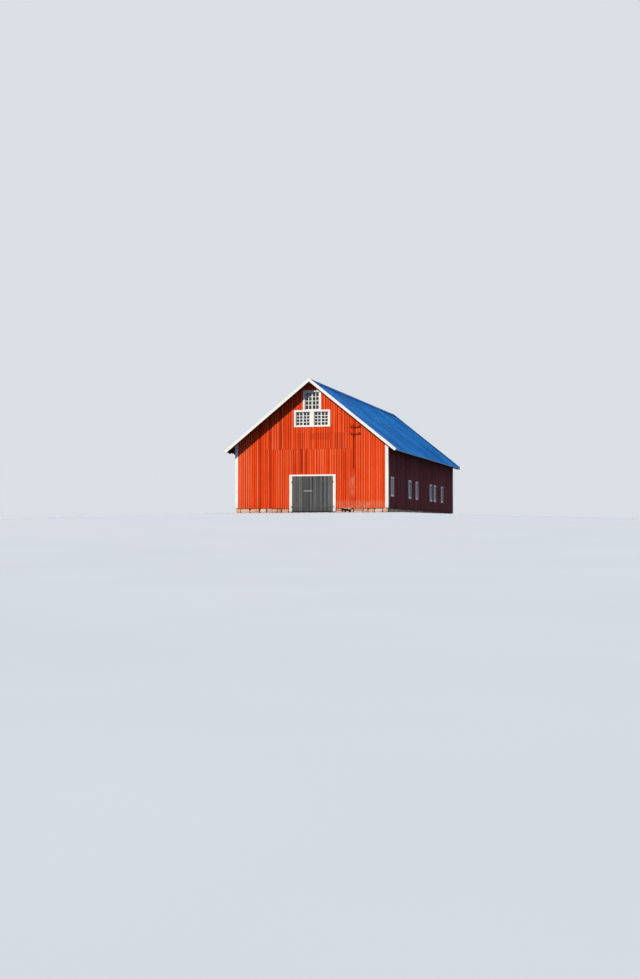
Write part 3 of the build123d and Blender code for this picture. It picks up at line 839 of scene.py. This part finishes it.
def cap_ridge(material):
    """Rounded capping along the ridge, with a raised collar round the end of each length."""
    solids = Solids()
    edge_level = cap_top - capping_half_width * slope + seam_height
    height = cap_top + capping_rise - edge_level

    def ring(y, swell):
        points = []
        for step in range(capping_steps + 1):
            angle = pi * step / capping_steps
            x = -(capping_half_width + swell) * cos(angle)
            points.append(Vector((x, y, edge_level + height * sin(angle) + swell)))
        return points

    reach = verge_y - upstand_thickness
    count = round(2 * reach / capping_length)
    for index in range(count):
        near = -reach + 2 * reach * index / count
        far = -reach + 2 * reach * (index + 1) / count
        solids.loft([ring(near, 0.0), ring(far, 0.0)])
        if index:
            solids.loft([ring(near + turn * collar_length / 2, collar_height) for turn in (-1, 1)])
    solids.make("ridge_capping", material)


def add_stone(solids, centre, half_size, tone, rng):
    """A rough block: a cube with rounded corners and uneven faces, kept above the ground."""
    roundness = rng.uniform(*stone_roundness)
    waves = []
    for _ in range(3):
        wave = Vector([rng.uniform(-stone_wave, stone_wave) for _ in range(3)])
        waves.append((wave, rng.uniform(0, stone_phase)))
    index_of = {}

    def corner_index(key):
        if key not in index_of:
            index_of[key] = len(solids.points)
            point = Vector([2 * step / stone_divisions - 1 for step in key])
            shaped = point.lerp(point.normalized() * stone_bulge, roundness)
            shaped *= 1 + sum(sin(point.dot(wave) + phase) for wave, phase in waves) * stone_waviness
            corner = centre + Vector([shaped[axis] * half_size[axis] for axis in range(3)])
            corner.z = max(corner.z, 0.0)
            solids.points.append(corner)
            solids.tones.append(tone)
        return index_of[key]

    steps = range(stone_divisions)
    for axis, level, u, v in product(range(3), (0, stone_divisions), steps, steps):
        face = []
        for step_u, step_v in ((u, v), (u + 1, v), (u + 1, v + 1), (u, v + 1)):
            key = [level, step_u, step_v]
            face.append(corner_index(tuple(key[-axis:] + key[:-axis])))
        solids.faces.append(tuple(face))


def add_loose_stones(solids, run, place, length, height, rng):
    """A few small stones on the ground in a gap of the front plinth, and flat ones under the wall."""
    for share, under_wall, half_size in loose_stones:
        level = half_size[2] * stone_swell
        if under_wall:
            level = height - level
        centre = run.point(place + share * length, level, -stone_depth / 3)
        add_stone(solids, centre, half_size, rng.uniform(*loose_tones), rng)


def lay_stones(solids, run, ends, start, height, rng):
    """Stones along a run between two ends, in one or two courses, with wedges in the wide joints."""
    place, end = ends
    while place < end - least_rest:
        length = min(rng.uniform(*stone_length), end - place)
        if end - place - length < least_stone:
            length = end - place
        joint = rng.uniform(*stone_joint) if rng.random() < wide_joint_share else stone_joint[0]
        levels = [0.0, rng.uniform(*course_level), 1.0] if rng.random() < two_course_share else [0.0, 1.0]
        if run.out.y < 0 and place < low_stretch[1] and place + length > low_stretch[0]:
            length = max(low_stretch[1] - place, least_stretch)
            add_loose_stones(solids, run, place, length, height, rng)
            levels = []
        for low, high in zip(levels, levels[1:]):
            rise = (height * (high - low) - rng.uniform(0.0, course_slack)) / stone_swell
            depth = stone_stand - stone_depth / 2 - rng.uniform(0.0, stone_slack)
            centre = run.point(place + length / 2, height * low + rise * stone_swell / 2, depth)
            half_size = run.block((length - joint) / stone_swell, stone_depth / stone_swell, rise) / 2
            add_stone(solids, centre, half_size, rng.uniform(*stone_tones), rng)
        if joint > wedge_joint:
            half_size = run.block(joint * wedge_width / 2, stone_depth / 3, rng.uniform(*wedge_height))
            level = half_size.z * stone_swell + rng.uniform(0.0, wedge_lift)
            if place > start + joint:
                centre = run.point(place, level, -stone_depth * wedge_inset)
                add_stone(solids, centre, half_size, rng.uniform(*wedge_tones), rng)
        place += length


def lay_plinth(node, material, seed):
    """Field stones along the outer face of each run of a plinth node, on a near-black backing that is painted
    shade in the joints.
    """
    rng = Random(seed)
    solids = Solids()
    for low, high in islands(node):
        size = high - low
        middle = (low + high) / 2
        out = y_axis * copysign(1, middle.y) if size.x > size.y else x_axis * copysign(1, middle.x)
        run = Wall(node, out, max(low.dot(out), high.dot(out)))
        thickness = abs(size.dot(out))
        start = low.dot(run.across)
        backed = [start, high.dot(run.across)]
        laid = list(backed)
        for index, turn in enumerate((1, -1)):
            if out.x or abs(laid[index]) <= half_width - stone_depth:
                continue
            place = laid[index] + turn * (corner_length / 2 - stone_stand)
            centre = run.point(place, high.z / 2, stone_stand - thickness / 2)
            half_size = run.block(corner_length, thickness, high.z) / 2 / stone_swell
            add_stone(solids, centre, half_size, rng.uniform(*corner_tones), rng)
            backed[index] += turn * backing_trim
            laid[index] += turn * (corner_length - stone_stand)
        # Backing with tone 0, the near-black stone colour: painted shade seen through the joints
        front, rear = -backing_depth, -thickness
        section = ((backed[0], front), (backed[0], rear), (backed[1], rear), (backed[1], front))
        rings = [[run.point(place, level, depth) for place, depth in section] for level in (0.0, high.z)]
        solids.loft(rings, 0.0)
        lay_stones(solids, run, laid, start, high.z, rng)
    solids.make(f"stones_{node}", material, replaced=[node])


def board_leaf(name, material, seed):
    """Upright boards with gaps in place of a door leaf's panel, the last one narrower at its top."""
    rng = Random(seed)
    solids = Solids()
    low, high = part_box(f"door_leaf_{name}")
    for left, right in strips(low.x, high.x, door_board_width, rng):
        left_lean = leaf_lean if name == "right" and left == low.x else 0.0
        right_lean = leaf_lean if name == "left" and right == high.x else 0.0
        if right < high.x:
            right -= door_board_gap
        foot = Vector((right, high.y, low.z + rng.uniform(0.0, door_board_foot)))
        top = Vector((right - right_lean, high.y, high.z))
        side = x_axis * (left - right)
        top_side = side + x_axis * (left_lean + right_lean)
        depth = y_axis * (low.y - high.y)
        solids.bar(foot, top, side, depth, door_board_chamfer, rng.random(), top_side)
    solids.make(
        f"boards_door_{name}", material, f"door_{name}", replaced=[f"door_leaf_{name}"]
    )


def stud_straps(name, material):
    """Round nail heads along each hinge strap of a leaf, from its free end."""
    solids = Solids()
    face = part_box(f"door_leaf_{name}")[0].y - strap_thickness
    for low, high in islands(f"door_straps_{name}"):
        free_end, away = (low.x, 1) if name == "right" else (high.x, -1)
        for index in range(nail_count):
            foot = Vector((free_end + away * (nail_inset + index * nail_spacing), face, (low.z + high.z) / 2))
            radii = (x_axis * nail_radius, z_axis * nail_radius)
            solids.turn(foot, -y_axis * nail_height, radii, nail_profile, nail_sides)
    solids.make(f"strap_nails_{name}", material, f"door_{name}")


def turn_insulators(material):
    """Ribbed insulators in place of the plain ones."""
    solids = Solids()
    for low, high in islands("insulators"):
        half = (high - low) / 2
        foot = high - half - z_axis * half.z
        radii = (x_axis * half.x, y_axis * half.x)
        solids.turn(foot, z_axis * 2 * half.z, radii, insulator_profile, insulator_sides)
    solids.make("ribbed_insulators", material, replaced=["insulators"], smooth=True)


# Finishes of the solids that stay as they are
gable_red = gable_boards()
side_red_painted_shade = side_boards_painted_shade()
upright_white = white_boards("white_upright_boards", (40.0, 40.0, 1.5))
level_white = white_boards("white_rake_boards", (2.0, 60.0, 14.0))
roof_blue = roof_metal("roof_metal", roof_blues)
# Capping and ridge cap in the paler blue of painted light
ridge_blue_painted_light = roof_metal("ridge_metal_painted_light", ridge_blues_painted_light)
window_glass = glass()
painted_iron = iron("painted_iron", *paint_and_rust, Roughness=0.9, Specular_IOR_Level=0.05)
grey_iron = iron("grey_iron", *iron_and_rust, Roughness=0.62, Metallic=0.4)
door_grey = door_boards()
finishes = [
    (wall_body(), "front_wall_left front_wall_right front_gable back_wall left_wall right_wall eave_blocks"),
    (upright_white, "corner_boards door_side_casings gable_window_frames gable_casings gable_panels"),
    (upright_white, "side_window_frames side_casings"),
    (level_white, "rake_boards_left rake_boards_right door_top_board"),
    (roof_blue, "roof_sheet_left roof_sheet_right"),
    (ridge_blue_painted_light, "ridge_cap"),
    (timber("roof_boards", (3.0, 1.2, 30.0), "Z", 0.1), "roof_deck_left roof_deck_right"),
    (timber("rafter_timber", (6.0, 40.0, 6.0)), "rafters"),
    (timber("ridge_timber", (40.0, 1.5, 40.0)), "ridge_board wall_plates"),
    (timber("post_timber", (30.0, 30.0, 1.5)), "loft_posts"),
    (timber("beam_timber", (30.0, 1.5, 30.0)), "loft_beams"),
    (timber("joist_timber", (1.5, 30.0, 30.0)), "loft_joists"),
    (timber("loft_boards", (30.0, 1.5, 30.0), "X", 0.18), "loft_floor"),
    (door_grey, "door_ledges_left door_ledges_right"),
    (pale_wood(), "latch_bar"),
    (grey_iron, "door_straps_left door_straps_right door_pintles"),
    (painted_iron, "insulator_bracket conduit"),
    (concrete(), "floor_slab"),
    (stone("threshold_stone", plain=threshold_grey), "door_threshold"),
]
for finish, names in finishes:
    for name in names.split():
        materials = nodes[name].data.materials
        materials.clear()
        materials.append(finish)

# Fields of the walls, and zones that boards or only covers keep off, as left, right, bottom and top
gable_reach = corner_boards_high.x - corner_board_width
side_reach = corner_boards_high.y - corner_board_width
wall_foot = plinth_top - board_drop
front_fields = [
    (-gable_reach, joint_left, wall_foot, ridge_underside),
    (joint_left, joint_right, wall_foot, joint_level - joint_gap),
    (joint_left, joint_right, joint_level, ridge_underside),
    (joint_right, gable_reach, wall_foot, ridge_underside),
]
back_fields = [(-gable_reach, gable_reach, wall_foot, ridge_underside)]
door_low, door_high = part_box("door_top_board")
door_zone = (door_low.x, door_high.x, 0.0, door_high.z)
conduit_low, conduit_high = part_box("conduit")
mast_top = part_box("insulator_bracket")[1].z
conduit_gap = 0.006
conduit_foot = conduit_low.z - 0.01
conduit_zone = (conduit_low.x - conduit_gap, conduit_high.x + conduit_gap, conduit_foot, mast_top)
window_zones = casing_zones()
front_zones = window_zones + [door_zone] + board_slots

# Pieces on the walls, roof, plinth and doors
clad_gable(Wall("front", -y_axis, half_length), front_fields, front_zones, [conduit_zone], gable_red, 11)
clad_gable(Wall("back", y_axis, half_length), back_fields, window_zones, [], gable_red, 12)
# Side walls in the darker red of painted shade
clad_side(Wall("right", x_axis, half_width), side_red_painted_shade, 13)
clad_side(Wall("left", -x_axis, half_width), side_red_painted_shade, 14)
fit_bars("gable_window", upright_white, window_glass, 15)
fit_bars("side_window", upright_white, window_glass, 16)
seam_roof(-1, "left", roof_blue)
seam_roof(1, "right", roof_blue)
turn_up_verges(roof_blue)
cap_ridge(ridge_blue_painted_light)
plinth_stone = stone("plinth_stone")
lay_plinth("foundation_front", plinth_stone, 17)
lay_plinth("foundation_back", plinth_stone, 18)
lay_plinth("foundation_sides", plinth_stone, 19)
board_leaf("left", door_grey, 20)
board_leaf("right", door_grey, 21)
stud_straps("left", grey_iron)
stud_straps("right", grey_iron)
turn_insulators(ceramic())

# Pale floor that falls away gently from the barn on all sides
floor_margin = 1.0
floor_fall = 0.03
floor_bend = 3.0  # length over which the level floor turns into the fall
floor_run = 80.0
floor_reach = 900.0
floor_corner_steps = 24
floor_colour = (0.50, 0.51, 0.525)
floor_bounce = (0.05, 0.05, 0.055)


def pale_floor():
    """Pale where it is seen, and darker for the light that it throws back on the walls."""
    look = Look("pale_floor", Roughness=0.95, Specular_IOR_Level=0.1)
    colours = (tuple(0.97 * part for part in floor_colour), floor_colour)
    pale = look.ramp(look.noise(0.2, detail=3.0), (0.3, 0.7), colours)
    return look.finish(look.mix(look.seen_rays(), floor_bounce, pale))


def make_floor():
    """A mound with rounded corners: level at the barn, falling away from it, then level again."""
    points = []
    for out in (0.0, 1.0, floor_bend, floor_run, floor_reach):
        fall = min(out, floor_run) * floor_fall * min(1.0, out / floor_bend)
        for corner, (side, end) in enumerate(((1, 1), (-1, 1), (-1, -1), (1, -1))):
            centre = Vector((side * half_width, end * half_length, -fall))
            for step in range(floor_corner_steps + 1):
                angle = (corner + step / floor_corner_steps) * pi / 2
                outward = x_axis * cos(angle) + y_axis * sin(angle)
                points.append(centre + outward * (floor_margin + out))
    count = 4 * (floor_corner_steps + 1)
    faces = [tuple(range(count))]
    for first in range(0, len(points) - count, count):
        for index in range(count):
            after = (index + 1) % count
            faces.append((first + index, first + count + index, first + count + after, first + after))
    mesh = bpy.data.meshes.new("floor")
    mesh.from_pydata(points, [], faces)
    mesh.shade_smooth()
    mesh.materials.append(pale_floor())
    add_object("floor", mesh)


make_floor()

# World: a soft blue fill, and a pale backdrop where the camera, glass and metal see it
fill_colour = (0.30, 0.55, 1.0)
fill_strength = 0.36
backdrop_colour = (0.70, 0.74, 0.78)

world = bpy.data.worlds.new("studio")
bpy.context.scene.world = world
world.use_nodes = True
world.node_tree.nodes.clear()
sky = Nodes(world.node_tree)
fill = sky.node("Background", fill_colour, fill_strength)
backdrop = sky.node("Background", backdrop_colour)
chooser = sky.node("MixShader", sky.seen_rays(), fill.outputs[0], backdrop.outputs[0])
sky.node("OutputWorld", chooser.outputs[0])


def add_lamp(name, kind, energy, colour):
    """New lamp, as its data and its object."""
    lamp = bpy.data.lights.new(name, kind)
    lamp.energy = energy
    lamp.color = colour
    return lamp, add_object(name, lamp)


def add_sun(name, towards, energy, colour, softness):
    """A distant lamp that stands in a direction seen from the barn."""
    lamp, holder = add_lamp(name, "SUN", energy, colour)
    lamp.angle = radians(softness)
    holder.rotation_euler = Vector(towards).to_track_quat("Z", "Y").to_euler()


# Key lamp from the left of the door gable, and a wide soft lamp overhead
key_azimuth = radians(40)
key_height = radians(37.7)
key_direction = (
    -sin(key_azimuth) * cos(key_height),
    -cos(key_azimuth) * cos(key_height),
    sin(key_height),
)
add_sun("key_light", key_direction, 4.6, (1.0, 0.94, 0.83), 1.5)
add_sun("overhead_light", (0.35, 0.3, 0.9), 1.3, (0.88, 0.94, 1.0), 40.0)

# Weak lamp under the loft, so that the posts show through the open doors
inside_lamp, inside_holder = add_lamp("inside_light", "POINT", 160.0, (1.0, 0.93, 0.84))
inside_lamp.shadow_soft_size = 1.2
inside_holder.location = (0.0, -8.0, 3.2)

# Camera: a standard lens a little below the barn's foot, far in front of its door gable and to the right
camera_place = Vector((27.57, -120.8, -1.52))
camera_heading = Vector((-0.2487, 0.9686, 0.0))
camera_pitch = radians(1.786)
camera_lens = 50.12

camera_data = bpy.data.cameras.new("camera")
camera_data.lens = camera_lens
camera_data.clip_end = 3000.0
camera = add_object("camera", camera_data)
camera.location = camera_place
view_direction = camera_heading.normalized() * cos(camera_pitch) + z_axis * sin(camera_pitch)
camera.rotation_euler = view_direction.to_track_quat("-Z", "Y").to_euler()
bpy.context.scene.camera = camera
bpy.context.scene.view_settings.view_transform = "Standard"
